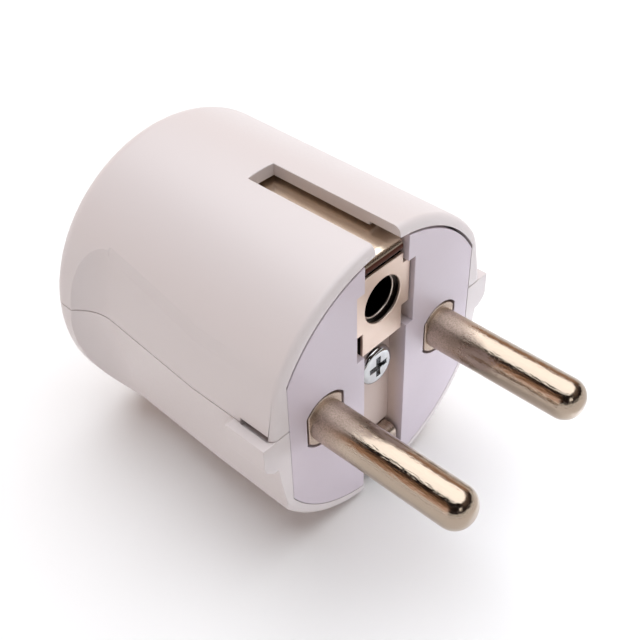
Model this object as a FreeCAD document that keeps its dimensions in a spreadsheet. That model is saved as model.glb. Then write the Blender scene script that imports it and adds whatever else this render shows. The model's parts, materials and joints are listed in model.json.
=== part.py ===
# Rewirable earthed plug: two round pins, an earth strip above and below, and a female earth socket.
# Frame: origin in the engagement face midway between the pins, pins along -Y, X from pin to pin, Z up.
import FreeCAD, Part
import math
import os
import Sketcher
from types import SimpleNamespace

SIZES = {
    # contact layout of the engagement face
    "pin_diameter": 4.8,
    "pin_length": 19.0,
    "pin_spacing": 19.0,
    "pin_tip_flat": 0.5,
    # round body
    "body_radius": 18.4,
    "body_length": 36.4,
    "rear_crown": 1.4,
    "rear_round": 2.4,
    "front_round": 0.9,
    "shell_wall": 1.6,
    "rear_wall": 2.8,
    # plane where the two half shells meet
    "split_height": 2.4,
    "seam_gap": 0.08,
    # finger grips on both sides
    "grip_inset": 1.15,
    "grip_waist": 0.95,
    "grip_straight": 12.0,
    "grip_rear": 9.4,
    "grip_sweep": 6.2,
    "cover_grip_draft": 11.0,
    "base_grip_draft": 8.0,
    "grip_edge_draft": 22.0,
    "grip_edge_cut": 0.15,
    "grip_overrun": 0.6,
    "grip_wall": 1.7,
    # engagement face, a moulding of its own inside the rims of both halves
    "rim_wall": 1.5,
    "rim_side_wall": 2.5,
    "face_thickness": 4.0,
    "face_gap": 0.07,
    "cover_face_gap": 0.3,
    # ears beside the face
    "ear_overhang": 1.2,
    "ear_length": 5.6,
    "ear_side": 3.3,
    "ear_foot": 1.0,
    "ear_round": 1.1,
    # slits above the ears for prising the cover off
    "slit_start": 0.7,
    "slit_end": 4.6,
    "slit_depth": 1.9,
    "slit_height": 0.5,
    # channel and pocket sunk in the face
    "recess_depth": 2.3,
    "channel_half": 3.4,
    "pocket_gap": 0.25,
    "window_height": 2.8,
    # sheet metal of the earth path
    "sheet": 0.8,
    "bend_inner": 0.3,
    "strip_half": 3.0,
    "strip_depth": 2.15,
    "strip_hidden": 1.3,
    "lip_height": 1.25,
    "lip_setback": 0.4,
    "slot_half": 1.9,
    "slot_length": 17.7,
    "sheet_gap": 0.2,
    # earth plate in the face
    "plate_setback": 0.5,
    "plate_screw_gap": 1.5,
    "plate_lip_gap": 0.7,
    "wing_half": 4.3,
    "wing_below": 2.8,
    "wing_above": 3.0,
    "plate_hole": 5.6,
    # female earth socket, whose axis is 10 mm above the pins
    "socket_drop": 5.45,
    "sleeve_bore": 4.9,
    "sleeve_outer": 6.4,
    "sleeve_flange": 8.0,
    "sleeve_end": 16.0,
    "sleeve_floor": 2.0,
    "spigot_diameter": 3.0,
    "spigot_head": 0.6,
    # lower earth leg and its terminal
    "leg_spacing": 4.45,
    "leg_tail": 3.5,
    "earth_screw_diameter": 3.5,
    "earth_head_diameter": 6.0,
    "earth_head_height": 2.0,
    "earth_boss_radius": 3.6,
    "earth_boss_gap": 0.7,
    "washer_half": 3.8,
    "washer_thickness": 1.0,
    "washer_gap": 1.4,
    "earth_screw_bite": 3.2,
    # rear ends of the pins
    "pin_collar": 6.3,
    "pin_collar_flat": 5.0,
    "collar_gap": 0.3,
    "pin_flange": 7.6,
    "pin_flange_thickness": 1.4,
    "neck_diameter": 5.0,
    "neck_length": 3.6,
    "terminal_diameter": 7.0,
    "terminal_length": 9.5,
    "wire_bore": 3.0,
    "wire_depth": 8.0,
    "fit_gap": 0.1,
    # terminal screws of the pins
    "terminal_screw_diameter": 3.0,
    "terminal_screw_setback": 4.0,
    "terminal_head_diameter": 5.0,
    "terminal_head_height": 1.8,
    # yoke over the necks of the pins
    "retainer_gap": 0.4,
    "retainer_top": 2.0,
    "retainer_bridge": 1.6,
    "retainer_foot": 1.2,
    # screw and captive nut that hold the cover
    "screw_diameter": 3.0,
    "screw_head_diameter": 5.0,
    "screw_head_height": 1.4,
    "screw_length": 10.5,
    "nut_across_flats": 5.5,
    "nut_thickness": 2.4,
    "hole_gap": 0.15,
    # bevelled heads and cross recesses of all the screws
    "head_bevel": 0.4,
    "cross_length": 2.8,
    "cross_width": 0.7,
    "cross_depth": 0.8,
    # lug of the cover behind the face
    "lug_leg": 1.7,
    "lug_depth": 5.0,
    "lug_floor": 0.4,
    "lug_sleeve_gap": 0.3,
    "lug_bridge_gap": 1.2,
    "lug_gap": 0.2,
    # cord inlet and clamp
    "inlet_diameter": 9.0,
    "clamp_setback": 5.2,
    "clamp_width": 5.0,
    "clamp_half": 12.6,
    "clamp_seat": 1.5,
    "clamp_thickness": 2.5,
    "clamp_arch_half": 4.7,
    "clamp_arch_slope": 0.5,
    "clamp_screw_spacing": 19.0,
    "clamp_screw_diameter": 3.0,
    "clamp_head_diameter": 5.4,
    "clamp_head_height": 2.0,
    "clamp_screw_bite": 6.0,
    "clamp_post_half": 2.8,
    # how far cutting profiles run past the body
    "beyond": 4.0,
}


class Size:
    """A dimension: its number, and the expression over the sheet that gives it."""

    def __init__(self, value, text):
        self.value = value
        self.text = text

    def __add__(self, other):
        other = as_size(other)
        return Size(self.value + other.value, f"({self.text} + {other.text})")

    def __sub__(self, other):
        other = as_size(other)
        return Size(self.value - other.value, f"({self.text} - {other.text})")

    def __mul__(self, other):
        other = as_size(other)
        return Size(self.value * other.value, f"({self.text} * {other.text})")

    def __truediv__(self, other):
        other = as_size(other)
        return Size(self.value / other.value, f"({self.text} / {other.text})")

    def __neg__(self):
        return Size(-self.value, f"(-1 * {self.text})")


def as_size(number):
    return number if isinstance(number, Size) else Size(float(number), str(number))


def root(size):
    return Size(math.sqrt(size.value), f"sqrt({size.text})")


def tangent(degrees):
    return Size(math.tan(math.radians(degrees.value)), f"tan({degrees.text})")


doc = FreeCAD.newDocument("earthed_plug")
sheet = doc.addObject("Spreadsheet::Sheet", "sizes")
for row, (name, value) in enumerate(SIZES.items(), start=1):
    sheet.set(f"A{row}", name)
    sheet.set(f"B{row}", str(value))
    sheet.setAlias(f"B{row}", name)
doc.recompute()
s = SimpleNamespace(**{name: Size(value, f"sizes.{name}") for name, value in SIZES.items()})

# places that several pieces share
pin_x = s.pin_spacing / 2
grip_front_half = s.body_radius - s.grip_inset
grip_waist_half = grip_front_half - s.grip_waist
grip_end = s.body_length - s.grip_rear
grip_slope = {1: tangent(s.cover_grip_draft), -1: tangent(s.base_grip_draft)}
cavity_radius = s.body_radius - s.shell_wall
cavity_half = grip_waist_half - s.grip_wall
cavity_end = s.body_length - s.rear_wall
wall_middle = s.body_radius - s.shell_wall / 2
face_radius = s.body_radius - s.rim_wall
face_half = grip_front_half - s.rim_side_wall
strip_height = s.body_radius - s.strip_depth
strip_under = strip_height - s.sheet
strip_end = s.slot_length + s.strip_hidden
lip_end = strip_height - s.lip_height
socket_height = strip_under - s.socket_drop
plate_back = s.plate_setback + s.sheet
wing_bottom = socket_height - s.wing_below
wing_top = socket_height + s.wing_above
flange_end = s.face_thickness + s.pin_flange_thickness
terminal_start = flange_end + s.neck_length
terminal_end = terminal_start + s.terminal_length
terminal_screw_y = terminal_end - s.terminal_screw_setback
leg_top = strip_height - s.leg_spacing
leg_under = leg_top + s.sheet
link_foot = s.sheet - leg_top
earth_screw_y = s.sleeve_end + s.sheet + s.washer_gap + s.washer_half
leg_rear = earth_screw_y + s.leg_tail
contact_end = earth_screw_y - s.earth_boss_radius - s.earth_boss_gap
nut_room = s.nut_across_flats + s.fit_gap * 2
lug_start = s.face_thickness + s.lug_gap
lug_end = lug_start + s.lug_depth
lug_inner = s.sleeve_outer / 2 + s.lug_sleeve_gap
lug_half = lug_inner + s.lug_leg
lug_bottom = nut_room / math.sqrt(3) + s.lug_floor
retainer_start = flange_end + s.fit_gap
retainer_depth = s.neck_length - s.fit_gap * 2
retainer_inner = lug_half + s.retainer_gap
retainer_outer = pin_x + s.retainer_foot
retainer_bottom = lug_bottom + s.retainer_gap + s.retainer_bridge
clamp_at = cavity_end - s.clamp_setback
clamp_screw_x = s.clamp_screw_spacing / 2
clamp_arch = s.split_height + s.inlet_diameter / 2 + s.clamp_seat


def wall_drop(x):
    """How far the middle of the round wall lies below the axis, at a distance from the middle plane."""
    return root(wall_middle * wall_middle - x * x)


def bind(target, path, size):
    target.setExpression(path, as_size(size).text)


def new_body(label):
    body = doc.addObject("PartDesign::Body", label)
    body.Label = label
    return body


def new_sketch(body, name, plane, offset=0):
    """A sketch on one of the body's own origin planes, moved along the plane's normal."""
    sketch = body.newObject("Sketcher::SketchObject", f"{body.Name}_{name}")
    support = next(item for item in body.Origin.OriginFeatures if item.Role == plane)
    sketch.AttachmentSupport = (support, [""])
    sketch.MapMode = "FlatFace"
    bind(sketch, "AttachmentOffset.Base.z", offset)
    return sketch


def front_sketch(body, name, depth=0):
    """A sketch across the plug, X to the right and Z up, at a depth behind the face."""
    return new_sketch(body, name, "XZ_Plane", -as_size(depth))


def side_sketch(body, name):
    """A sketch along the plug in its middle plane, Y to the right and Z up."""
    return new_sketch(body, name, "YZ_Plane")


def plan_sketch(body, name, height=0):
    """A sketch seen from above, X to the right and Y up, at a height."""
    return new_sketch(body, name, "XY_Plane", height)


def fix_value(sketch, kind, first, second, size):
    index = sketch.addConstraint(Sketcher.Constraint(kind, *first, *second, as_size(size).value))
    sketch.setExpression(f"Constraints[{index}]", as_size(size).text)


def fix_point(sketch, geometry, end, x, y):
    fix_value(sketch, "DistanceX", (-1, 1), (geometry, end), x)
    fix_value(sketch, "DistanceY", (-1, 1), (geometry, end), y)


def polygon(sketch, points):
    """A closed outline of straight sides through the given points."""
    first = sketch.GeometryCount
    corners = [FreeCAD.Vector(as_size(x).value, as_size(y).value, 0) for x, y in points]
    for start, end in zip(corners, corners[1:] + corners[:1]):
        sketch.addGeometry(Part.LineSegment(start, end), False)
    for index, (x, y) in enumerate(points):
        following = first + (index + 1) % len(points)
        sketch.addConstraint(Sketcher.Constraint("Coincident", first + index, 2, following, 1))
        fix_point(sketch, first + index, 1, x, y)


def mirrored_polygons(sketch, points):
    """The outline on the right and the same outline on the left."""
    polygon(sketch, points)
    polygon(sketch, [(-as_size(x), y) for x, y in points])


def rectangle(sketch, left, right, bottom, top):
    polygon(sketch, [(left, bottom), (right, bottom), (right, top), (left, top)])


def circle(sketch, x, y, diameter):
    centre = FreeCAD.Vector(as_size(x).value, as_size(y).value, 0)
    shape = Part.Circle(centre, FreeCAD.Vector(0, 0, 1), as_size(diameter).value / 2)
    geometry = sketch.addGeometry(shape, False)
    fix_point(sketch, geometry, 3, x, y)
    index = sketch.addConstraint(Sketcher.Constraint("Diameter", geometry, as_size(diameter).value))
    sketch.setExpression(f"Constraints[{index}]", as_size(diameter).text)


def hexagon(sketch, x, y, across_flats):
    corner = across_flats / math.sqrt(3)
    half = across_flats / 2
    polygon(sketch, [(x + half, y - corner / 2), (x + half, y + corner / 2), (x, y + corner),
                     (x - half, y + corner / 2), (x - half, y - corner / 2), (x, y - corner)])


def cross(sketch, x, y):
    """The plus-shaped outline of a screw's recess."""
    far, near = s.cross_length / 2, s.cross_width / 2
    polygon(sketch, [(x + far, y - near), (x + far, y + near), (x + near, y + near), (x + near, y + far),
                     (x - near, y + far), (x - near, y + near), (x - far, y + near), (x - far, y - near),
                     (x - near, y - near), (x - near, y - far), (x + near, y - far), (x + near, y - near)])


def barrel(sketch, x, radius, half_width):
    """Two upright flats joined by arcs about one centre at height zero."""
    height = root(radius * radius - half_width * half_width)
    angle = math.atan2(height.value, half_width.value)
    middle = FreeCAD.Vector(as_size(x).value, 0, 0)
    ring = Part.Circle(middle, FreeCAD.Vector(0, 0, 1), radius.value)
    left, right = as_size(x) - half_width, as_size(x) + half_width
    upper = sketch.addGeometry(Part.ArcOfCircle(ring, angle, math.pi - angle), False)
    lower = sketch.addGeometry(Part.ArcOfCircle(ring, math.pi + angle, 2 * math.pi - angle), False)
    ends = [FreeCAD.Vector(px.value, pz.value, 0)
            for px, pz in ((left, height), (left, -height), (right, -height), (right, height))]
    left_side = sketch.addGeometry(Part.LineSegment(ends[0], ends[1]), False)
    right_side = sketch.addGeometry(Part.LineSegment(ends[2], ends[3]), False)
    for arc in (upper, lower):
        fix_point(sketch, arc, 3, x, 0)
    for one, other in (((upper, 2), (left_side, 1)), ((left_side, 2), (lower, 1)),
                       ((lower, 2), (right_side, 1)), ((right_side, 2), (upper, 1))):
        sketch.addConstraint(Sketcher.Constraint("Coincident", *one, *other))
    for side, px, end_height in ((left_side, left, height), (right_side, right, -height)):
        fix_point(sketch, side, 1, px, end_height)
        sketch.addConstraint(Sketcher.Constraint("Vertical", side))


def add_feature(body, kind, sketch):
    feature = body.newObject(f"PartDesign::{kind}", f"{sketch.Name}_{kind.lower()}")
    feature.Profile = sketch
    return feature


def pad(body, sketch, length, backwards=False, symmetric=False):
    feature = add_feature(body, "Pad", sketch)
    bind(feature, "Length", length)
    feature.Reversed = backwards
    feature.SideType = "Symmetric" if symmetric else "One side"
    return feature


def pocket(body, sketch, length, backwards=False, symmetric=False):
    feature = add_feature(body, "Pocket", sketch)
    bind(feature, "Length", length)
    feature.Reversed = backwards
    feature.SideType = "Symmetric" if symmetric else "One side"
    return feature


def revolve(body, sketch, axis):
    feature = add_feature(body, "Revolution", sketch)
    feature.ReferenceAxis = (sketch, [axis])
    feature.Angle = 360
    return feature


def edges_of(feature, wanted):
    doc.recompute()
    return [f"Edge{number}" for number, edge in enumerate(feature.Shape.Edges, start=1) if wanted(edge)]


def round_edges(body, feature, size, wanted):
    """A fillet on the edges of a feature that the test picks."""
    names = edges_of(feature, wanted)
    fillet = body.newObject("PartDesign::Fillet", f"{feature.Name}_round")
    fillet.Base = (feature, names)
    bind(fillet, "Radius", size)
    return fillet


def bevel_edges(body, feature, size, wanted):
    """A chamfer on the edges of a feature that the test picks."""
    names = edges_of(feature, wanted)
    chamfer = body.newObject("PartDesign::Chamfer", f"{feature.Name}_bevel")
    chamfer.Base = (feature, names)
    bind(chamfer, "Size", size)
    return chamfer


def at(value, size):
    return abs(value - as_size(size).value) < 1e-6


def round_bends(body, feature, inner, outer):
    """Rounds the inside and the outside corner of each fold, given as points of the profile."""
    for corners, size in ((inner, s.bend_inner), (outer, s.bend_inner + s.sheet)):
        feature = round_edges(body, feature, size, lambda edge: any(
            at(edge.CenterOfMass.y, y) and at(edge.CenterOfMass.z, z) for y, z in corners))
    return feature


def full_form(body):
    """The whole rounded body of the plug before it is split, with both finger grips to come."""
    sketch = plan_sketch(body, "form")
    side_length = s.body_length - s.rear_crown
    crown_radius = (s.body_radius * s.body_radius + s.rear_crown * s.rear_crown) / (s.rear_crown * 2)
    centre = s.body_length - crown_radius
    corners = [(as_size(0), as_size(0)), (s.body_radius, as_size(0)), (s.body_radius, side_length)]
    points = [FreeCAD.Vector(x.value, y.value, 0) for x, y in corners]
    for start, end in zip(points, points[1:]):
        sketch.addGeometry(Part.LineSegment(start, end), False)
    top = FreeCAD.Vector(0, s.body_length.value, 0)
    ring = Part.Circle(FreeCAD.Vector(0, centre.value, 0), FreeCAD.Vector(0, 0, 1), crown_radius.value)
    start_angle = math.atan2(side_length.value - centre.value, s.body_radius.value)
    crown = sketch.addGeometry(Part.ArcOfCircle(ring, start_angle, math.pi / 2), False)
    axis = sketch.addGeometry(Part.LineSegment(top, points[0]), False)
    for line, (x, y) in zip((0, 1, crown), corners):
        fix_point(sketch, line, 1, x, y)
    fix_point(sketch, crown, 2, 0, s.body_length)
    fix_value(sketch, "DistanceX", (-1, 1), (crown, 3), 0)
    for one, other in (((0, 2), (1, 1)), ((1, 2), (crown, 1)), ((crown, 2), (axis, 1)), ((axis, 2), (0, 1))):
        sketch.addConstraint(Sketcher.Constraint("Coincident", *one, *other))
    form = revolve(body, sketch, "V_Axis")
    return round_edges(body, form, s.rear_round, lambda edge: at(edge.CenterOfMass.y, side_length))


def round_front(body, feature):
    """Rounds the outer edge round the engagement face, but not the edge along the split plane."""
    return round_edges(body, feature, s.front_round, lambda edge: at(edge.BoundBox.YMax, 0)
                       and not at(edge.BoundBox.ZLength, 0))


def leaning_edge(half, radius, up):
    """Where a leaning side that is a half width out at the split plane meets a circle about the axis."""
    slope = grip_slope[up]
    square = slope * slope + 1
    start = half + s.split_height * slope * up
    height = (start * slope + root(square * radius * radius - start * start)) / square
    return start - height * slope, height


def swept_outline(sketch, side):
    """Plan of one grip: straight, then waisted, then swept out to the rear by an arc."""
    far = s.body_radius + s.beyond
    rise = s.body_radius + s.grip_overrun - grip_waist_half
    sweep_length = root(s.grip_sweep * rise * 2 - rise * rise)
    sweep_end = grip_end + sweep_length
    hub = grip_waist_half + s.grip_sweep
    path = [((grip_waist_half + rise) * side, sweep_end), (far * side, sweep_end), (far * side, -s.beyond),
            (grip_front_half * side, -s.beyond), (grip_front_half * side, s.grip_straight),
            (grip_waist_half * side, grip_end)]
    ends = [FreeCAD.Vector(x.value, y.value, 0) for x, y in path]
    lines = [sketch.addGeometry(Part.LineSegment(*pair), False) for pair in zip(ends, ends[1:])]
    centre = FreeCAD.Vector(hub.value * side, grip_end.value, 0)
    ring = Part.Circle(centre, FreeCAD.Vector(0, 0, 1), s.grip_sweep.value)
    turn = math.atan2(sweep_length.value, s.grip_sweep.value - rise.value)
    angles = (math.pi - turn, math.pi) if side > 0 else (0, turn)
    sweep = sketch.addGeometry(Part.ArcOfCircle(ring, *angles), False)
    rear_end, waist_end = (1, 2) if side > 0 else (2, 1)
    for one, other in zip(lines, lines[1:]):
        sketch.addConstraint(Sketcher.Constraint("Coincident", one, 2, other, 1))
    sketch.addConstraint(Sketcher.Constraint("Coincident", lines[0], 1, sweep, rear_end))
    sketch.addConstraint(Sketcher.Constraint("Coincident", lines[-1], 2, sweep, waist_end))
    fix_point(sketch, sweep, 3, hub * side, grip_end)
    fix_value(sketch, "DistanceX", (-1, 1), (lines[0], 1), path[0][0])
    for line, (x, y) in zip(lines, path[1:]):
        fix_point(sketch, line, 2, x, y)


def edge_outline(sketch, side, up, lean):
    """Plan of the cut that softens the crease between one grip and the round body."""
    outline = []
    for half, y in ((grip_front_half, -s.beyond), (grip_front_half, s.grip_straight), (grip_waist_half, grip_end)):
        x, height = leaning_edge(half, s.body_radius, up)
        outline.append((x + (height - s.split_height * up) * lean - s.grip_edge_cut, y))
    far = s.body_radius + s.beyond
    outline += [(far, grip_end + s.grip_sweep), (far, -s.beyond)]
    polygon(sketch, [(x * side, y) for x, y in outline])


def cut_grips(body, up):
    """The waisted finger grips of one half, which lean inwards with distance from the split plane."""
    lean = tangent(s.grip_edge_draft)
    for name, side in (("left", -1), ("right", 1)):
        for kind, slope in (("grip", grip_slope[up]), ("edge", lean)):
            sketch = plan_sketch(body, f"{kind}_{name}", s.split_height)
            if kind == "grip":
                swept_outline(sketch, side)
            else:
                edge_outline(sketch, side, up, lean)
            grip = pocket(body, sketch, s.body_radius * 2)
            grip.UseCustomVector = True
            grip.Direction = FreeCAD.Vector(0, 0, up)
            bind(grip, "Direction.x", slope * -side)
    return grip


def cut_half(body, height, upwards):
    """Removes everything above, or below, the split plane."""
    sketch = plan_sketch(body, "split", height)
    far = s.body_radius + s.beyond
    rectangle(sketch, -far, far, -s.beyond, s.body_length + s.beyond)
    return pocket(body, sketch, s.body_radius * 2, backwards=upwards)


def cut_cavity(body):
    """The hollow behind the face: round above and below, with sides that lean like the grips."""
    sketch = front_sketch(body, "cavity", s.face_thickness)
    upper_x, upper_z = leaning_edge(cavity_half, cavity_radius, 1)
    lower_x, lower_drop = leaning_edge(cavity_half, cavity_radius, -1)
    lower_z = -lower_drop
    upper_angle = math.atan2(upper_z.value, upper_x.value)
    lower_angle = math.atan2(lower_z.value, lower_x.value)
    ring = Part.Circle(FreeCAD.Vector(0, 0, 0), FreeCAD.Vector(0, 0, 1), cavity_radius.value)
    upper = sketch.addGeometry(Part.ArcOfCircle(ring, upper_angle, math.pi - upper_angle), False)
    lower = sketch.addGeometry(Part.ArcOfCircle(ring, math.pi - lower_angle, math.tau + lower_angle), False)
    path = [(-upper_x, upper_z), (-cavity_half, s.split_height), (-lower_x, lower_z),
            (lower_x, lower_z), (cavity_half, s.split_height), (upper_x, upper_z)]
    ends = [FreeCAD.Vector(x.value, z.value, 0) for x, z in path]
    sides = [sketch.addGeometry(Part.LineSegment(ends[index], ends[index + 1]), False)
             for index in (0, 1, 3, 4)]
    for arc, (x, z) in ((upper, path[5]), (lower, path[2])):
        fix_point(sketch, arc, 3, 0, 0)
        fix_point(sketch, arc, 1, x, z)
        fix_value(sketch, "DistanceX", (-1, 1), (arc, 2), -x)
    for side, (x, z) in ((sides[0], path[1]), (sides[2], path[4])):
        fix_point(sketch, side, 2, x, z)
    loop = (upper, sides[0], sides[1], lower, sides[2], sides[3])
    for one, other in zip(loop, loop[1:] + loop[:1]):
        sketch.addConstraint(Sketcher.Constraint("Coincident", one, 2, other, 1))
    return pocket(body, sketch, cavity_end - s.face_thickness)


def cut_inlet(body):
    """The round cord inlet in the rear wall, half in each shell."""
    sketch = front_sketch(body, "inlet", cavity_end - s.beyond / 2)
    circle(sketch, 0, s.split_height, s.inlet_diameter)
    return pocket(body, sketch, s.rear_wall + s.beyond)


def cut_opening(body, gap):
    """The mouth of one half, which leaves a gap round the carrier."""
    sketch = front_sketch(body, "opening")
    barrel(sketch, 0, face_radius + gap, face_half + s.face_gap)
    return pocket(body, sketch, s.face_thickness + s.face_gap)


def make_base():
    body = new_body("base")
    round_front(body, full_form(body))
    cut_half(body, s.split_height, upwards=True)
    cut_grips(body, up=-1)

    ears = front_sketch(body, "ears")
    ear_edge = s.split_height - s.ear_side
    root_x = grip_front_half - s.shell_wall
    ear_x = grip_front_half + s.ear_overhang
    mirrored_polygons(ears, [(root_x, s.split_height), (ear_x, s.split_height), (ear_x, ear_edge),
                             (grip_front_half, ear_edge - s.ear_foot), (root_x, ear_edge - s.ear_foot)])
    ear_blocks = pad(body, ears, s.ear_length, backwards=True)
    round_edges(body, ear_blocks, s.ear_round, lambda edge: at(abs(edge.CenterOfMass.x), ear_x)
                and at(edge.CenterOfMass.z, ear_edge))
    cut_opening(body, s.face_gap)
    cut_cavity(body)

    grooves = plan_sketch(body, "grooves", s.split_height)
    groove_inner = grip_front_half - s.slit_depth
    mirrored_polygons(grooves, [(groove_inner, s.slit_start), (grip_front_half, s.slit_start),
                                (grip_front_half, s.slit_end), (groove_inner, s.slit_end)])
    pocket(body, grooves, s.slit_height)

    channel = front_sketch(body, "channel")
    rectangle(channel, -s.channel_half, s.channel_half, -(s.body_radius + s.beyond), 0)
    pocket(body, channel, s.recess_depth)
    slot = plan_sketch(body, "slot", -strip_under)
    rectangle(slot, -s.slot_half, s.slot_half, -s.beyond, s.slot_length)
    pocket(body, slot, s.body_radius)

    cut_inlet(body)

    # ribs under the yoke, boss of the earth terminal and posts of the cord clamp
    ribs = front_sketch(body, "ribs", retainer_start)
    mirrored_polygons(ribs, [(retainer_inner, -retainer_bottom), (retainer_outer, -retainer_bottom),
                             (retainer_outer, -wall_drop(retainer_outer)),
                             (retainer_inner, -wall_drop(retainer_inner))])
    pad(body, ribs, retainer_depth, backwards=True)

    earth_boss = plan_sketch(body, "earth_boss", -leg_under)
    circle(earth_boss, 0, earth_screw_y, s.earth_boss_radius * 2)
    pad(body, earth_boss, wall_middle - leg_under, backwards=True)
    earth_hole = plan_sketch(body, "earth_hole", -leg_under)
    circle(earth_hole, 0, earth_screw_y, s.earth_screw_diameter)
    pocket(body, earth_hole, s.earth_screw_bite)

    posts = front_sketch(body, "clamp_posts", clamp_at - s.clamp_post_half)
    post_inner, post_outer = clamp_screw_x - s.clamp_post_half, clamp_screw_x + s.clamp_post_half
    mirrored_polygons(posts, [(post_inner, -s.clamp_seat), (post_outer, -s.clamp_seat),
                              (post_outer, -wall_drop(post_outer)), (post_inner, -wall_drop(post_inner))])
    pad(body, posts, s.clamp_post_half * 2, backwards=True)
    holes = plan_sketch(body, "clamp_holes", -s.clamp_seat)
    for side in (-1, 1):
        circle(holes, clamp_screw_x * side, clamp_at, s.clamp_screw_diameter)
    pocket(body, holes, s.clamp_screw_bite)
    return body


def make_cover():
    body = new_body("cover")
    full_form(body)
    bottom = s.split_height + s.seam_gap
    cut_half(body, bottom, upwards=False)
    round_front(body, cut_grips(body, up=1))

    cut_opening(body, s.cover_face_gap)
    cut_cavity(body)

    slits = plan_sketch(body, "slits", bottom)
    slit_inner = grip_front_half - s.slit_depth
    far = s.body_radius + s.beyond
    mirrored_polygons(slits, [(slit_inner, s.slit_start), (far, s.slit_start), (far, s.slit_end),
                              (slit_inner, s.slit_end)])
    pocket(body, slits, s.slit_height, backwards=True)

    slot = plan_sketch(body, "slot", strip_under)
    rectangle(slot, -s.slot_half, s.slot_half, -s.beyond, s.slot_length)
    pocket(body, slot, s.body_radius, backwards=True)

    cut_inlet(body)

    # lug with two legs beside the earth socket, and its captive nut
    lug = front_sketch(body, "lug", lug_start)
    root_z = cavity_radius + s.shell_wall / 4
    bridge_z = socket_height - s.sleeve_outer / 2 - s.lug_bridge_gap
    polygon(lug, [(-lug_half, root_z), (-lug_half, -lug_bottom), (lug_half, -lug_bottom), (lug_half, root_z),
                  (lug_inner, root_z), (lug_inner, bridge_z), (-lug_inner, bridge_z), (-lug_inner, root_z)])
    pad(body, lug, s.lug_depth, backwards=True)
    hole = front_sketch(body, "lug_hole", lug_start)
    circle(hole, 0, 0, s.screw_diameter + s.hole_gap * 2)
    pocket(body, hole, s.lug_depth)
    nut_pocket = front_sketch(body, "nut_pocket", lug_end - s.nut_thickness)
    hexagon(nut_pocket, as_size(0), as_size(0), nut_room)
    pocket(body, nut_pocket, s.nut_thickness)
    return body


def make_carrier():
    """The moulding of the engagement face, which carries the pins and the earth contacts."""
    body = new_body("contact_carrier")
    face = front_sketch(body, "face")
    barrel(face, 0, face_radius, face_half)
    pad(body, face, s.face_thickness, backwards=True)

    recess = front_sketch(body, "recess")
    far = s.body_radius + s.beyond
    pocket_half = s.wing_half + s.pocket_gap
    pocket_top = wing_top + s.pocket_gap
    pocket_bottom = wing_bottom - s.window_height
    right = [(s.channel_half, -far), (s.channel_half, pocket_bottom), (pocket_half, pocket_bottom),
             (pocket_half, pocket_top), (s.channel_half, pocket_top), (s.channel_half, far)]
    polygon(recess, right + [(-x, z) for x, z in reversed(right)])
    pocket(body, recess, s.recess_depth)

    through = front_sketch(body, "holes")
    slit_half = s.strip_half + s.sheet_gap
    rectangle(through, -slit_half, slit_half, strip_under, far)
    rectangle(through, -slit_half, slit_half, -leg_under, s.sheet_gap - leg_top)
    rectangle(through, -slit_half, slit_half, -far, -(strip_under - s.sheet_gap))
    circle(through, 0, socket_height, s.sleeve_outer + s.fit_gap * 2)
    circle(through, 0, 0, s.screw_diameter + s.hole_gap * 2)
    pocket(body, through, s.face_thickness)

    pin_holes = front_sketch(body, "pin_holes")
    for side in (-1, 1):
        barrel(pin_holes, pin_x * side, s.pin_collar / 2 + s.collar_gap,
               s.pin_collar_flat / 2 + s.collar_gap)
    pocket(body, pin_holes, s.face_thickness)
    return body


def make_pin(label, side):
    """A turned pin: contact, double-D collar, flange, neck and a bored rear end for the wire."""
    body = new_body(label)
    x = pin_x * side
    collar = front_sketch(body, "collar")
    barrel(collar, x, s.pin_collar / 2, s.pin_collar_flat / 2)
    pad(body, collar, s.face_thickness, backwards=True)
    for name, start, diameter, length in (
            ("flange", s.face_thickness, s.pin_flange, s.pin_flange_thickness),
            ("neck", flange_end, s.neck_diameter, s.neck_length),
            ("terminal", terminal_start, s.terminal_diameter, s.terminal_length)):
        sketch = front_sketch(body, name, start)
        circle(sketch, x, 0, diameter)
        pad(body, sketch, length, backwards=True)
    bore = front_sketch(body, "bore", terminal_end)
    circle(bore, x, 0, s.wire_bore)
    pocket(body, bore, s.wire_depth, backwards=True)
    tapped = plan_sketch(body, "tapped")
    circle(tapped, x, terminal_screw_y, s.terminal_screw_diameter)
    pocket(body, tapped, s.terminal_diameter, backwards=True)
    contact = front_sketch(body, "contact")
    circle(contact, x, 0, s.pin_diameter)
    blank = pad(body, contact, s.pin_length)
    round_edges(body, blank, (s.pin_diameter - s.pin_tip_flat) / 2,
                lambda edge: at(edge.CenterOfMass.y, -s.pin_length))
    return body


def make_retainer():
    """A yoke of insulating plastic that stands between the pins and holds both by their necks."""
    body = new_body("pin_retainer")
    sketch = front_sketch(body, "yoke", retainer_start)
    half = s.neck_diameter / 2 + s.fit_gap
    right = [(retainer_inner, s.retainer_bridge - retainer_bottom), (retainer_inner, s.retainer_top),
             (pin_x - half, s.retainer_top), (pin_x - half, -half), (retainer_outer, -half),
             (retainer_outer, -retainer_bottom)]
    left = [(-x, z) for x, z in reversed(right)]
    polygon(sketch, right + left)
    pad(body, sketch, retainer_depth, backwards=True)
    return body


def make_earth_plate():
    body = new_body("earth_plate")
    sketch = front_sketch(body, "outline", s.plate_setback)
    plate_half = s.channel_half - s.pocket_gap
    plate_bottom = s.screw_head_diameter / 2 + s.plate_screw_gap
    plate_top = lip_end - s.plate_lip_gap
    right = [(plate_half, plate_bottom), (plate_half, wing_bottom), (s.wing_half, wing_bottom),
             (s.wing_half, wing_top), (plate_half, wing_top), (plate_half, plate_top)]
    polygon(sketch, right + [(-x, z) for x, z in reversed(right)])
    circle(sketch, 0, socket_height, s.plate_hole)
    pad(body, sketch, s.sheet, backwards=True)
    return body


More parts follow.
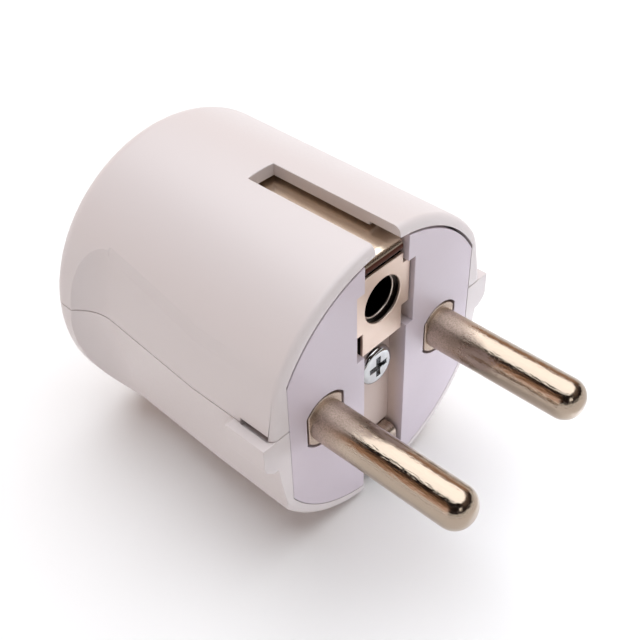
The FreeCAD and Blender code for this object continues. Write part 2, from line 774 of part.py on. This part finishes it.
def make_sleeve():
    """The female earth socket, with a flange behind the plate and a spigot through the link."""
    body = new_body("earth_sleeve")
    for name, start, end, diameter in (
            ("flange", plate_back, s.recess_depth, s.sleeve_flange),
            ("tube", s.recess_depth, s.sleeve_end, s.sleeve_outer),
            ("spigot", s.sleeve_end, s.sleeve_end + s.sheet + s.spigot_head, s.spigot_diameter)):
        sketch = front_sketch(body, name, start)
        circle(sketch, 0, socket_height, diameter)
        pad(body, sketch, end - start, backwards=True)
    bore = front_sketch(body, "bore", plate_back)
    circle(bore, 0, socket_height, s.sleeve_bore)
    pocket(body, bore, s.sleeve_end - s.sleeve_floor - plate_back)
    return body


def make_upper_strip():
    body = new_body("earth_strip_upper")
    sketch = side_sketch(body, "profile")
    lip_back = s.lip_setback + s.sheet
    polygon(sketch, [(s.lip_setback, lip_end), (s.lip_setback, strip_height),
                     (strip_end, strip_height), (strip_end, strip_under),
                     (lip_back, strip_under), (lip_back, lip_end)])
    strip = pad(body, sketch, s.strip_half * 2, symmetric=True)
    round_bends(body, strip, [(lip_back, strip_under)], [(s.lip_setback, strip_height)])
    return body


def make_lower_strip():
    """One strip: the terminal leg inside, the fold in the channel, and the contact below."""
    body = new_body("earth_strip_lower")
    sketch = side_sketch(body, "profile")
    front = s.lip_setback
    back = front + s.sheet
    polygon(sketch, [(leg_rear, -leg_top), (front, -leg_top), (front, -strip_height),
                     (contact_end, -strip_height), (contact_end, -strip_under),
                     (back, -strip_under), (back, -leg_under), (leg_rear, -leg_under)])
    strip = pad(body, sketch, s.strip_half * 2, symmetric=True)
    round_bends(body, strip, [(back, -strip_under), (back, -leg_under)],
                [(front, -strip_height), (front, -leg_top)])
    hole = plan_sketch(body, "hole", -leg_top)
    circle(hole, 0, earth_screw_y, s.earth_screw_diameter + s.hole_gap * 2)
    pocket(body, hole, s.sheet)
    return body


def make_link():
    """The strap from the upper strip and the socket down to the leg of the lower strip."""
    body = new_body("earth_link")
    sketch = side_sketch(body, "profile")
    back = s.sleeve_end + s.sheet
    polygon(sketch, [(s.sleeve_end, strip_under), (back, strip_under), (back, link_foot),
                     (leg_rear, link_foot), (leg_rear, -leg_top), (s.sleeve_end, -leg_top)])
    strap = pad(body, sketch, s.strip_half * 2, symmetric=True)
    round_bends(body, strap, [(back, link_foot)], [(s.sleeve_end, -leg_top)])
    spigot = front_sketch(body, "spigot", s.sleeve_end)
    circle(spigot, 0, socket_height, s.spigot_diameter)
    pocket(body, spigot, s.sheet)
    hole = plan_sketch(body, "hole", link_foot)
    circle(hole, 0, earth_screw_y, s.earth_screw_diameter + s.hole_gap * 2)
    pocket(body, hole, s.sheet)
    return body


def make_washer():
    body = new_body("earth_clamp_washer")
    sketch = plan_sketch(body, "outline", link_foot)
    rectangle(sketch, -s.washer_half, s.washer_half,
              earth_screw_y - s.washer_half, earth_screw_y + s.washer_half)
    circle(sketch, 0, earth_screw_y, s.earth_screw_diameter + s.hole_gap * 2)
    pad(body, sketch, s.washer_thickness)
    return body


def make_upright_screw(label, x, y, seat, shank, length, head, head_height):
    """A screw driven down from above, its head resting at the seat height."""
    body = new_body(label)
    stem = plan_sketch(body, "shank", seat)
    circle(stem, x, y, shank)
    pad(body, stem, length, backwards=True)
    top = plan_sketch(body, "head", seat)
    circle(top, x, y, head)
    blank = pad(body, top, head_height)
    crown = seat + head_height
    bevel_edges(body, blank, s.head_bevel, lambda edge: at(edge.CenterOfMass.z, crown))
    recess = plan_sketch(body, "cross", crown)
    cross(recess, x, y)
    pocket(body, recess, s.cross_depth)
    return body


def make_cover_screw():
    body = new_body("cover_screw")
    shank = front_sketch(body, "shank", s.recess_depth)
    circle(shank, 0, 0, s.screw_diameter)
    pad(body, shank, s.screw_length, backwards=True)
    head = front_sketch(body, "head", s.recess_depth)
    circle(head, 0, 0, s.screw_head_diameter)
    blank = pad(body, head, s.screw_head_height)
    crown = s.recess_depth - s.screw_head_height
    bevel_edges(body, blank, s.head_bevel, lambda edge: at(edge.CenterOfMass.y, crown))
    recess = front_sketch(body, "cross", crown)
    cross(recess, as_size(0), as_size(0))
    pocket(body, recess, s.cross_depth)
    return body


def make_cover_nut():
    body = new_body("cover_nut")
    sketch = front_sketch(body, "hexagon", lug_end - s.nut_thickness)
    hexagon(sketch, as_size(0), as_size(0), s.nut_across_flats)
    circle(sketch, 0, 0, s.screw_diameter)
    pad(body, sketch, s.nut_thickness, backwards=True)
    return body


def make_cord_clamp():
    """A bar with a raised middle, screwed down across the cord inlet."""
    body = new_body("cord_clamp")
    sketch = front_sketch(body, "profile", clamp_at - s.clamp_width / 2)
    under, over = -s.clamp_seat, s.clamp_thickness - s.clamp_seat
    wall = s.clamp_thickness
    foot_inner = s.clamp_arch_half + s.clamp_arch_slope
    right = [(foot_inner, under), (s.clamp_half, under), (s.clamp_half, over),
             (foot_inner + wall / 2, over), (s.clamp_arch_half + wall / 2, over + clamp_arch)]
    left = [(-x, z) for x, z in reversed(right)]
    arch = [(-s.clamp_arch_half, under + clamp_arch), (s.clamp_arch_half, under + clamp_arch)]
    polygon(sketch, right + left + arch)
    pad(body, sketch, s.clamp_width, backwards=True)
    holes = plan_sketch(body, "holes", over)
    for side in (-1, 1):
        circle(holes, clamp_screw_x * side, clamp_at, s.clamp_screw_diameter + s.hole_gap * 2)
    pocket(body, holes, s.clamp_thickness)
    return body


bodies = [make_base(), make_cover(), make_carrier(), make_pin("pin_left", -1), make_pin("pin_right", 1),
          make_retainer(), make_earth_plate(), make_sleeve(), make_upper_strip(), make_lower_strip(),
          make_link(), make_washer(), make_cover_screw(), make_cover_nut(), make_cord_clamp()]
for name, side in (("left", -1), ("right", 1)):
    screw_seat = s.terminal_diameter / 2
    bodies.append(make_upright_screw(f"terminal_screw_{name}", pin_x * side, terminal_screw_y, screw_seat,
                                     s.terminal_screw_diameter, screw_seat - s.wire_bore / 2,
                                     s.terminal_head_diameter, s.terminal_head_height))
    clamp_top = s.clamp_thickness - s.clamp_seat
    bodies.append(make_upright_screw(f"cord_clamp_screw_{name}", clamp_screw_x * side, clamp_at, clamp_top,
                                     s.clamp_screw_diameter, s.clamp_thickness + s.clamp_screw_bite,
                                     s.clamp_head_diameter, s.clamp_head_height))
washer_top = s.washer_thickness + link_foot
bodies.append(make_upright_screw("earth_terminal_screw", as_size(0), earth_screw_y, washer_top,
                                 s.earth_screw_diameter,
                                 s.washer_thickness + s.sheet * 2 + s.earth_screw_bite,
                                 s.earth_head_diameter, s.earth_head_height))
doc.recompute()

failed = [item.Label for item in doc.Objects if {"Invalid", "Error"} & set(item.State)]
if failed:
    raise RuntimeError(f"these objects did not build: {failed}")
for body in bodies:
    if body.Shape.isNull() or not body.Shape.isValid() or len(body.Shape.Solids) != 1:
        raise RuntimeError(f"{body.Label} is not one valid solid")

os.makedirs("parts", exist_ok=True)
for body in bodies:
    body.Shape.exportStep(f"parts/{body.Label}.step")
    box = body.Shape.BoundBox
    print(f"{body.Label}: {body.Shape.Volume:.1f} mm3, X {box.XMin:.2f} to {box.XMax:.2f}, "
          f"Y {box.YMin:.2f} to {box.YMax:.2f}, Z {box.ZMin:.2f} to {box.ZMax:.2f}")
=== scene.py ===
import json
from math import pi, radians

import bmesh
import bpy
from mathutils import Matrix, Vector


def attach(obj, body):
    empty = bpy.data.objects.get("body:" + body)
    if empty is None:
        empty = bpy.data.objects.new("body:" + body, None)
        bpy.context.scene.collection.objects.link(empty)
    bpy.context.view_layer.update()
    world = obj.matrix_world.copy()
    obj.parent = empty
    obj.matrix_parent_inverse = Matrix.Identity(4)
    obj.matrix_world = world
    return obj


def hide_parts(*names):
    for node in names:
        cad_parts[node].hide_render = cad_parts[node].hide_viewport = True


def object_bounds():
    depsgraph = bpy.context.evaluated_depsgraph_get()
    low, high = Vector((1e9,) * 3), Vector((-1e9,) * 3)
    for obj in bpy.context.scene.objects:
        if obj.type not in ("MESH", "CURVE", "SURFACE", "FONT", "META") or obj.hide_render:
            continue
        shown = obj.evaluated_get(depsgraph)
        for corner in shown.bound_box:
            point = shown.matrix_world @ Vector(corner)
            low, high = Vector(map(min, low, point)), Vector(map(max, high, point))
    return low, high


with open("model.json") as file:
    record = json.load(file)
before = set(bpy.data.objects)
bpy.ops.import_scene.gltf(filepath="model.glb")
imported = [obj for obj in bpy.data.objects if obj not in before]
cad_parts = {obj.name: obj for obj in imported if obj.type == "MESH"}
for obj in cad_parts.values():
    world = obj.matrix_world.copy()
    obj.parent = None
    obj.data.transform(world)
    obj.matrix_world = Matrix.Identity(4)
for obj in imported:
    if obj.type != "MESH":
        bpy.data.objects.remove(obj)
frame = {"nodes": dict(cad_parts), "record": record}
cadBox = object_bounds()
nodes = frame["nodes"]
mm = 0.001
print("frame loaded:", len(nodes), "nodes")

# a Mix node with these settings takes the share at 0 and the colours at 6 and 7, and gives its colour at 2
colourMix = {"data_type": "RGBA"}
softSteps = {"interpolation_type": "SMOOTHSTEP"}


def linear(hexColour):    # an sRGB hex value as the linear colour that a shader takes
    parts = [int(hexColour[i:i + 2], 16) / 255 for i in (1, 3, 5)]
    return [p / 12.92 if p <= 0.04045 else ((p + 0.055) / 1.055) ** 2.4 for p in parts] + [1]


def perMm(size):    # the scale of a pattern whose features are this many millimetres wide
    return 1 / (size * mm)


def addNode(tree, kind, settings, inputs):    # a number or colour sets an input, a socket is linked to it
    node = tree.nodes.new("ShaderNode" + kind)
    for key, value in settings.items():
        setattr(node, key, value)
    for key, value in inputs.items():
        if isinstance(value, bpy.types.NodeSocket):
            tree.links.new(value, node.inputs[key])
        else:
            node.inputs[key].default_value = value
    return node


def newMaterial(name):    # an empty material, with the place on the object that its patterns read
    mat = bpy.data.materials.new(name)
    mat.use_nodes = True
    mat.node_tree.nodes.clear()
    place = addNode(mat.node_tree, "TexCoord", {}, {}).outputs["Object"]
    return mat, mat.node_tree, place


# Injection-moulded ABS from a polished tool: an even semi-gloss skin with a very slight waviness, a little
# yellowing in broad patches and fine wear from handling, drawn coarser than it is so that it shows. Deeper
# behind the face the colour turns darker: dust, and painted shade in the recesses.
def mouldedAbs(name, clean, aged, dustAndShade):
    look = {"patch": 9, "patchDetail": 4, "wave": 3.5, "waveDetail": 1, "waveHeight": 0.05,
            "waveStrength": 0.06, "wear": 0.35, "wearDetail": 3, "wearFrom": 0.3, "wearTo": 0.75,
            "roughness": 0.3, "wornRoughness": 0.44, "dustAndShadeFrom": 0.1, "dustAndShadeTo": 1.5, "ior": 1.53}
    mat, tree, place = newMaterial(name)
    patches = addNode(tree, "TexNoise", {}, {"Vector": place, "Scale": perMm(look["patch"]),
                                             "Detail": look["patchDetail"]})
    waves = addNode(tree, "TexNoise", {}, {"Vector": place, "Scale": perMm(look["wave"]),
                                           "Detail": look["waveDetail"]})
    wear = addNode(tree, "TexNoise", {}, {"Vector": place, "Scale": perMm(look["wear"]),
                                          "Detail": look["wearDetail"]})
    skinTone = addNode(tree, "Mix", colourMix, {0: patches.outputs["Fac"], 6: linear(clean), 7: linear(aged)})
    # painted shade: from 0.1 to 1.5 mm behind the face the colour turns to a darker tone, for dust and for
    # the shade in recesses
    depth = addNode(tree, "SeparateXYZ", {}, {"Vector": place}).outputs["Y"]
    deep = addNode(tree, "MapRange", {}, {"Value": depth, "From Min": look["dustAndShadeFrom"] * mm,
                                          "From Max": look["dustAndShadeTo"] * mm})
    colour = addNode(tree, "Mix", colourMix, {0: deep.outputs[0], 6: skinTone.outputs[2], 7: linear(dustAndShade)})
    rough = addNode(tree, "MapRange", {}, {"Value": wear.outputs["Fac"], "From Min": look["wearFrom"],
                                           "From Max": look["wearTo"], "To Min": look["roughness"],
                                           "To Max": look["wornRoughness"]})
    relief = addNode(tree, "Bump", {}, {"Height": waves.outputs["Fac"], "Strength": look["waveStrength"],
                                        "Distance": look["waveHeight"] * mm})
    skin = addNode(tree, "BsdfPrincipled", {}, {"Base Color": colour.outputs[2], "IOR": look["ior"],
                                                "Roughness": rough.outputs[0], "Normal": relief.outputs[0]})
    addNode(tree, "OutputMaterial", {}, {"Surface": skin.outputs[0]})
    return mat


# Nickel plating on turned brass: warm, golden grey metal with lengthwise scratches from the contacts of
# outlets, and a duller, speckled zone near the face, where they grip. The scratches and speckles are drawn
# coarser than they are so that they show.
def pinNickel():
    look = {"bright": "#AD9D8D", "rubbed": "#CDBAAC", "scratch": 0.2, "scratchLength": 0.9,
            "scratchDetail": 2, "scratchFrom": 0.3, "scratchTo": 0.7, "scratchHeight": 0.03,
            "scratchStrength": 0.9,
            "speckle": 0.16, "speckleDetail": 3, "speckleFrom": 0.35, "speckleTo": 0.6,
            "rubStart": -1, "rubEnd": -8, "roughness": 0.1, "scratchedRoughness": 0.2,
            "speckleRoughness": 0.12, "rubRoughness": 0.24}
    mat, tree, place = newMaterial("pinNickel")
    along = addNode(tree, "Mapping", {}, {"Vector": place, "Scale": (
        1, look["scratch"] / look["scratchLength"], 1)}).outputs[0]
    scratches = addNode(tree, "TexNoise", {}, {"Vector": along, "Scale": perMm(look["scratch"]),
                                               "Detail": look["scratchDetail"]})
    speckles = addNode(tree, "TexNoise", {}, {"Vector": place, "Scale": perMm(look["speckle"]),
                                              "Detail": look["speckleDetail"]})
    depth = addNode(tree, "SeparateXYZ", {}, {"Vector": place}).outputs["Y"]
    rub = addNode(tree, "MapRange", softSteps, {"Value": depth, "From Min": look["rubEnd"] * mm,
                                                "From Max": look["rubStart"] * mm})
    spots = addNode(tree, "MapRange", {}, {"Value": speckles.outputs["Fac"], "From Min": look["speckleFrom"],
                                           "From Max": look["speckleTo"]})
    worn = addNode(tree, "Math", {"operation": "MULTIPLY"}, {0: rub.outputs[0], 1: spots.outputs[0]})
    colour = addNode(tree, "Mix", colourMix, {0: worn.outputs[0], 6: linear(look["bright"]),
                                              7: linear(look["rubbed"])})
    polish = addNode(tree, "MapRange", {}, {
        "Value": scratches.outputs["Fac"], "From Min": look["scratchFrom"], "From Max": look["scratchTo"],
        "To Min": look["roughness"], "To Max": look["scratchedRoughness"]})
    matt = addNode(tree, "Math", {"operation": "MULTIPLY_ADD"}, {
        0: worn.outputs[0], 1: look["speckleRoughness"], 2: polish.outputs[0]})
    rough = addNode(tree, "Math", {"operation": "MULTIPLY_ADD"}, {
        0: rub.outputs[0], 1: look["rubRoughness"], 2: matt.outputs[0]})
    relief = addNode(tree, "Bump", {}, {"Height": scratches.outputs["Fac"],
                                        "Strength": look["scratchStrength"],
                                        "Distance": look["scratchHeight"] * mm})
    skin = addNode(tree, "BsdfPrincipled", {}, {"Base Color": colour.outputs[2], "Metallic": 1,
                                                "Roughness": rough.outputs[0], "Normal": relief.outputs[0]})
    addNode(tree, "OutputMaterial", {}, {"Surface": skin.outputs[0]})
    return mat


# Nickel plating on stamped strip: a rolled, slightly satin sheet with a rosy beige tone. The sheared and
# bored walls behind its front skin, and the front of the bent lip of the upper strip, are painted brown to
# black as painted shade and dark reflection.
def stripNickel(name, bright, dull, paintedShade, clearAt, shadedAt, satin):
    look = {"grain": 0.06, "grainLength": 3, "grainDetail": 2, "grainFrom": 0.3, "grainTo": 0.7,
            "grainHeight": 0.01, "grainStrength": 0.03, "cloud": 2.5, "cloudDetail": 4, "satinSpread": 0.05}
    mat, tree, place = newMaterial(name)
    stretch = look["grain"] / look["grainLength"]
    along = addNode(tree, "Mapping", {}, {"Vector": place, "Scale": (1, stretch, stretch)}).outputs[0]
    grain = addNode(tree, "TexNoise", {}, {"Vector": along, "Scale": perMm(look["grain"]),
                                           "Detail": look["grainDetail"]})
    clouds = addNode(tree, "TexNoise", {}, {"Vector": place, "Scale": perMm(look["cloud"]),
                                            "Detail": look["cloudDetail"]})
    depth = addNode(tree, "SeparateXYZ", {}, {"Vector": place}).outputs["Y"]
    # painted shade: past a given depth the sheet takes the dark colour, standing for the shade and dark
    # reflections in bores and behind edges
    inside = addNode(tree, "MapRange", {}, {"Value": depth, "From Min": clearAt * mm,
                                            "From Max": shadedAt * mm})
    sheet = addNode(tree, "Mix", colourMix, {0: clouds.outputs["Fac"], 6: linear(bright), 7: linear(dull)})
    colour = addNode(tree, "Mix", colourMix, {0: inside.outputs[0], 6: sheet.outputs[2], 7: linear(paintedShade)})
    rough = addNode(tree, "MapRange", {}, {"Value": grain.outputs["Fac"], "From Min": look["grainFrom"],
                                           "From Max": look["grainTo"], "To Min": satin,
                                           "To Max": satin + look["satinSpread"]})
    relief = addNode(tree, "Bump", {}, {"Height": grain.outputs["Fac"], "Strength": look["grainStrength"],
                                        "Distance": look["grainHeight"] * mm})
    skin = addNode(tree, "BsdfPrincipled", {}, {"Base Color": colour.outputs[2], "Metallic": 1,
                                                "Roughness": rough.outputs[0], "Normal": relief.outputs[0]})
    addNode(tree, "OutputMaterial", {}, {"Surface": skin.outputs[0]})
    return mat


# Bright zinc plating on steel screws: clean, mirror-like and slightly cool.
def screwZinc():
    look = {"bright": "#DCDDDE", "dull": "#B4B5B8", "cloud": 0.8, "cloudDetail": 4, "cloudFrom": 0.3,
            "cloudTo": 0.7, "roughness": 0.06, "dullRoughness": 0.14}
    mat, tree, place = newMaterial("screwZinc")
    clouds = addNode(tree, "TexNoise", {}, {"Vector": place, "Scale": perMm(look["cloud"]),
                                            "Detail": look["cloudDetail"]})
    colour = addNode(tree, "Mix", colourMix, {0: clouds.outputs["Fac"], 6: linear(look["bright"]),
                                              7: linear(look["dull"])})
    rough = addNode(tree, "MapRange", {}, {"Value": clouds.outputs["Fac"], "From Min": look["cloudFrom"],
                                           "From Max": look["cloudTo"], "To Min": look["roughness"],
                                           "To Max": look["dullRoughness"]})
    skin = addNode(tree, "BsdfPrincipled", {}, {"Base Color": colour.outputs[2], "Metallic": 1,
                                                "Roughness": rough.outputs[0]})
    addNode(tree, "OutputMaterial", {}, {"Surface": skin.outputs[0]})
    return mat


# Glass-filled nylon for the hidden inner mouldings: dull, pale grey, with short fibres near the skin, drawn
# coarser than they are so that they show.
def filledNylon():
    look = {"pale": "#CFCBC3", "fibre": "#B9B4AA", "fibreWidth": 0.25, "fibreLength": 1.2, "fibreDetail": 2,
            "roughness": 0.45, "fibreRoughness": 0.65, "ior": 1.53}
    mat, tree, place = newMaterial("filledNylon")
    along = addNode(tree, "Mapping", {}, {"Vector": place, "Scale": (
        look["fibreWidth"] / look["fibreLength"], 1, 1)}).outputs[0]
    fibres = addNode(tree, "TexNoise", {}, {"Vector": along, "Scale": perMm(look["fibreWidth"]),
                                            "Detail": look["fibreDetail"]})
    colour = addNode(tree, "Mix", colourMix, {0: fibres.outputs["Fac"], 6: linear(look["pale"]),
                                              7: linear(look["fibre"])})
    rough = addNode(tree, "MapRange", {}, {"Value": fibres.outputs["Fac"], "To Min": look["roughness"],
                                           "To Max": look["fibreRoughness"]})
    skin = addNode(tree, "BsdfPrincipled", {}, {"Base Color": colour.outputs[2], "IOR": look["ior"],
                                                "Roughness": rough.outputs[0]})
    addNode(tree, "OutputMaterial", {}, {"Surface": skin.outputs[0]})
    return mat


# depths are in millimetres behind the face, and painted shade past the plug's rear never shows
shadeBlack = "#1C1614"
# the third colour of each ABS is its darker tone deep behind the face: dust, and painted shade in the
# recesses
finishes = {"housing": mouldedAbs("warmAbs", clean="#E0D7D6", aged="#D9CFCE", dustAndShade="#DCD3D2"),
            "carrier": mouldedAbs("coolAbs", clean="#D5C9D1", aged="#CDC0C8", dustAndShade="#CBB8AF"),
            "insulator": filledNylon(), "pin_plating": pinNickel(),
            "earth_plating": stripNickel("stripNickel", "#CDBFB4", "#B3A294", shadeBlack, clearAt=60,
                                         shadedAt=61, satin=0.25),
            "screw_steel": screwZinc()}
# painted shade and dark reflection: the plate's hole wall and back, the sleeve's bore behind its front ring
# and the front of the upper strip's bent lip turn dark brown to black
special = {"earth_plate": stripNickel("plateNickel", "#E4D1C4", "#DAC5B8", shadeBlack, clearAt=0.72,
                                      shadedAt=0.84, satin=0.38),
           "earth_sleeve": stripNickel("sleeveNickel", "#D9CCC2", "#C4B5A8", shadeBlack, clearAt=1.45,
                                       shadedAt=1.57, satin=0.27),
           "earth_strip_upper": stripNickel("lipNickel", "#EBDAC6", "#DAC6B0", "#43251C", clearAt=0.62,
                                            shadedAt=0.5, satin=0.2)}
slotOf = {part["node"]: part["material_slot"] for part in frame["record"]["subparts"]}
finishOf = {name: special.get(name, finishes[slotOf[name]]) for name in nodes}
for name, node in nodes.items():
    node.data.materials.clear()
    node.data.materials.append(finishOf[name])
print("finishes assigned:", len(set(finishOf.values())))


# the pieces in view get the small edge radii of their tools: the node's own mesh, merged, cleared of the
# flat triangles and bevelled along its outer sharp edges
edgeRadii = {"base": 0.07, "cover": 0.1, "contact_carrier": 0.06, "pin_left": 0.1, "pin_right": 0.1,
             "earth_plate": 0.09, "earth_sleeve": 0.1, "earth_strip_upper": 0.1, "earth_strip_lower": 0.1,
             "cover_screw": 0.08}
shells = ("base", "cover")
rounding = {"bevelFrom": 52, "sharp": 40, "crease": 11, "flat": 0.6, "weld": 0.001, "segments": 3}
screwRim = {"from": 30, "to": 50, "radius": 0.26, "segments": 5}
mouth = {"depth": 0.01, "halfWidth": 15, "radius": 17.35}
slotEnd = {"depth": 1.2, "halfWidth": 3, "above": 10}


def inMouth(spot):    # on the front rim round the carrier
    across = Vector((spot.x, spot.z)).length
    return spot.y < mouth["depth"] and abs(spot.x) < mouth["halfWidth"] and across < mouth["radius"]


def atSlotEnd(spot):    # on the rounded front ends of the upper slot
    return spot.y < slotEnd["depth"] and abs(spot.x) < slotEnd["halfWidth"] and spot.z > slotEnd["above"]


def staysCrisp(edge):
    return all(inMouth(vert.co / mm) or atSlotEnd(vert.co / mm) for vert in edge.verts)


for name, radius in edgeRadii.items():
    shape = bmesh.new()
    shape.from_mesh(nodes[name].data)
    bmesh.ops.remove_doubles(shape, verts=shape.verts, dist=rounding["weld"] * mm)
    bmesh.ops.dissolve_limit(shape, angle_limit=radians(rounding["flat"]), verts=shape.verts,
                             edges=shape.edges)
    crease = radians(rounding["crease"] if name in shells else rounding["sharp"])
    for edge in shape.edges:
        edge.smooth = edge.calc_face_angle(0) < crease
    if name == "cover_screw":    # the rim of the head is domed
        rim = [edge for edge in shape.edges
               if radians(screwRim["from"]) < edge.calc_face_angle_signed(0) < radians(screwRim["to"])]
        bmesh.ops.bevel(shape, geom=rim, offset=screwRim["radius"] * mm, affect="EDGES",
                        segments=screwRim["segments"], profile=0.5, clamp_overlap=False, material=-1)
    outer = [edge for edge in shape.edges if edge.calc_face_angle_signed(0) > radians(rounding["bevelFrom"])]
    if name in shells:
        outer = [edge for edge in outer if not staysCrisp(edge)]
    bmesh.ops.bevel(shape, geom=outer, offset=radius * mm, affect="EDGES", segments=rounding["segments"],
                    profile=0.5, clamp_overlap=False, material=-1)
    bmesh.ops.remove_doubles(shape, verts=shape.verts, dist=rounding["weld"] * mm)
    bmesh.ops.dissolve_degenerate(shape, edges=shape.edges, dist=rounding["weld"] * mm)
    for face in shape.faces:
        face.smooth = True
    data = bpy.data.meshes.new(name + "Finished")
    shape.to_mesh(data)
    shape.free()
    data.materials.append(finishOf[name])
    piece = bpy.data.objects.new(name + "Finished", data)
    bpy.context.scene.collection.objects.link(piece)
    even = piece.modifiers.new("even", "WEIGHTED_NORMAL")
    even.keep_sharp = True
    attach(piece, "root")
    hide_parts(name)
print("edges rounded:", len(edgeRadii), "pieces")

# floor, light and camera: the studio and its lamps are in metres, the pulp of the paper in millimetres
studio = {"floor": "#FFFFFF", "floorSize": 0.5, "backWall": "#C9A286", "frontWall": "#2E2220",
          "ceilingLeft": "#1C1412", "ceilingRight": "#8A7A70"}
paperLook = {"pulp": 1.5, "pulpDetail": 3, "roughness": 0.85, "pulpRoughness": 0.95}
lamps = {"softbox": {"towards": (0.195, 0.071, 0.978), "away": 0.5, "wide": 0.8, "long": 0.8, "radiance": 2.6,
                     "tint": "#F5FAFF"},
         "side": {"towards": (-0.97, 0.1, 0.22), "away": 0.6, "wide": 0.35, "long": 0.28, "radiance": 0.4,
                  "tint": "#FFF2F4"},
         "bounce": {"towards": (0.533, -0.775, -0.339), "away": 0.0413, "wide": 0.04, "long": 0.006,
                    "radiance": 9, "tint": "#E6F2FF"},
         "window": {"towards": (-0.3, -0.81, 0.5), "away": 0.5, "wide": 0.1, "long": 0.1, "radiance": 2.5,
                    "tint": "#FFFFFF"}}

# Uncoated white paper, pressed smooth: a matt sheet that spreads the light, with faint clouds of pulp.
floorMat, tree, place = newMaterial("whitePaper")
pulp = addNode(tree, "TexNoise", {}, {"Vector": place, "Scale": perMm(paperLook["pulp"]),
                                      "Detail": paperLook["pulpDetail"]})
rough = addNode(tree, "MapRange", {}, {"Value": pulp.outputs["Fac"], "To Min": paperLook["roughness"],
                                       "To Max": paperLook["pulpRoughness"]})
paper = addNode(tree, "BsdfPrincipled", {}, {"Base Color": linear(studio["floor"]),
                                             "Roughness": rough.outputs[0]})
addNode(tree, "OutputMaterial", {}, {"Surface": paper.outputs[0]})

floorMesh = bmesh.new()
bmesh.ops.create_grid(floorMesh, x_segments=1, y_segments=1, size=studio["floorSize"] / 2,
                      matrix=Matrix.Translation((0, 0, cadBox[0][2])))
floorData = bpy.data.meshes.new("floor")
floorMesh.to_mesh(floorData)
floorMesh.free()
floorData.materials.append(floorMat)
floor = bpy.data.objects.new("floor", floorData)
bpy.context.scene.collection.objects.link(floor)

for lampName, setup in lamps.items():
    lamp = bpy.data.objects.new(lampName, bpy.data.lights.new(lampName, "AREA"))
    lamp.data.shape = "ELLIPSE"
    lamp.data.size = setup["wide"]
    lamp.data.size_y = setup["long"]
    lamp.data.color = linear(setup["tint"])[:3]
    area = pi / 4 * setup["wide"] * setup["long"]
    lamp.data.energy = setup["radiance"] * pi * area
    towards = Vector(setup["towards"]).normalized()
    lamp.location = towards * setup["away"]
    lamp.rotation_euler = towards.to_track_quat("Z", "Y").to_euler()
    lamp.visible_camera = False
    lamp.visible_glossy = lampName != "bounce"    # it stands for light off the table, not for a lamp
    bpy.context.scene.collection.objects.link(lamp)

# the room that the metals mirror: a white table, walls and a ceiling, each fading into the next between two
# parts of a unit direction
room = {"ceilingFrom": 0.35, "ceilingTo": 0.75, "frontTo": -0.3, "backFrom": 0.2, "leftTo": -0.3,
        "rightFrom": 0.3, "tableTo": 0.13, "wallFrom": 0.2}
world = bpy.data.worlds.new("studio")
world.use_nodes = True
world.node_tree.nodes.clear()
tree = world.node_tree
way = addNode(tree, "SeparateXYZ", {}, {"Vector": addNode(tree, "TexCoord", {}, {}).outputs["Generated"]})
rise = addNode(tree, "MapRange", softSteps, {"Value": way.outputs["Z"], "From Min": room["ceilingFrom"],
                                             "From Max": room["ceilingTo"]})
behind = addNode(tree, "MapRange", softSteps, {"Value": way.outputs["Y"], "From Min": room["frontTo"],
                                               "From Max": room["backFrom"]})
sides = addNode(tree, "Mix", colourMix, {0: behind.outputs[0], 6: linear(studio["frontWall"]),
                                         7: linear(studio["backWall"])})
across = addNode(tree, "MapRange", softSteps, {"Value": way.outputs["X"], "From Min": room["leftTo"],
                                               "From Max": room["rightFrom"]})
ceiling = addNode(tree, "Mix", colourMix, {0: across.outputs[0], 6: linear(studio["ceilingLeft"]),
                                           7: linear(studio["ceilingRight"])})
low = addNode(tree, "MapRange", softSteps, {"Value": way.outputs["Z"], "From Min": room["tableTo"],
                                            "From Max": room["wallFrom"]})
table = addNode(tree, "Mix", colourMix, {0: low.outputs[0], 6: linear(studio["floor"]), 7: sides.outputs[2]})
walls = addNode(tree, "Mix", colourMix, {0: rise.outputs[0], 6: table.outputs[2], 7: ceiling.outputs[2]})
light = addNode(tree, "Background", {}, {"Color": walls.outputs[2], "Strength": 1})
addNode(tree, "OutputWorld", {}, {"Surface": light.outputs[0]})
bpy.context.scene.world = world

# the photograph's camera, in millimetres
view = {"place": (-59.925, -48.85, 77.194), "forward": (0.53146, 0.51886, -0.66958),
        "right": (0.68203, -0.7309, -0.02503), "lens": 56.031, "near": 1}
back = -Vector(view["forward"]).normalized()
right = Vector(view["right"]).normalized()
up = back.cross(right)
camera = bpy.data.objects.new("camera", bpy.data.cameras.new("camera"))
camera.data.lens = view["lens"]
camera.data.clip_start = view["near"] * mm
turn = Matrix((right, up, back)).transposed().to_4x4()
camera.matrix_world = Matrix.Translation(Vector(view["place"]) * mm) @ turn
bpy.context.scene.collection.objects.link(camera)
bpy.context.scene.camera = camera
bpy.context.scene.view_settings.view_transform = "Standard"
print("studio ready")
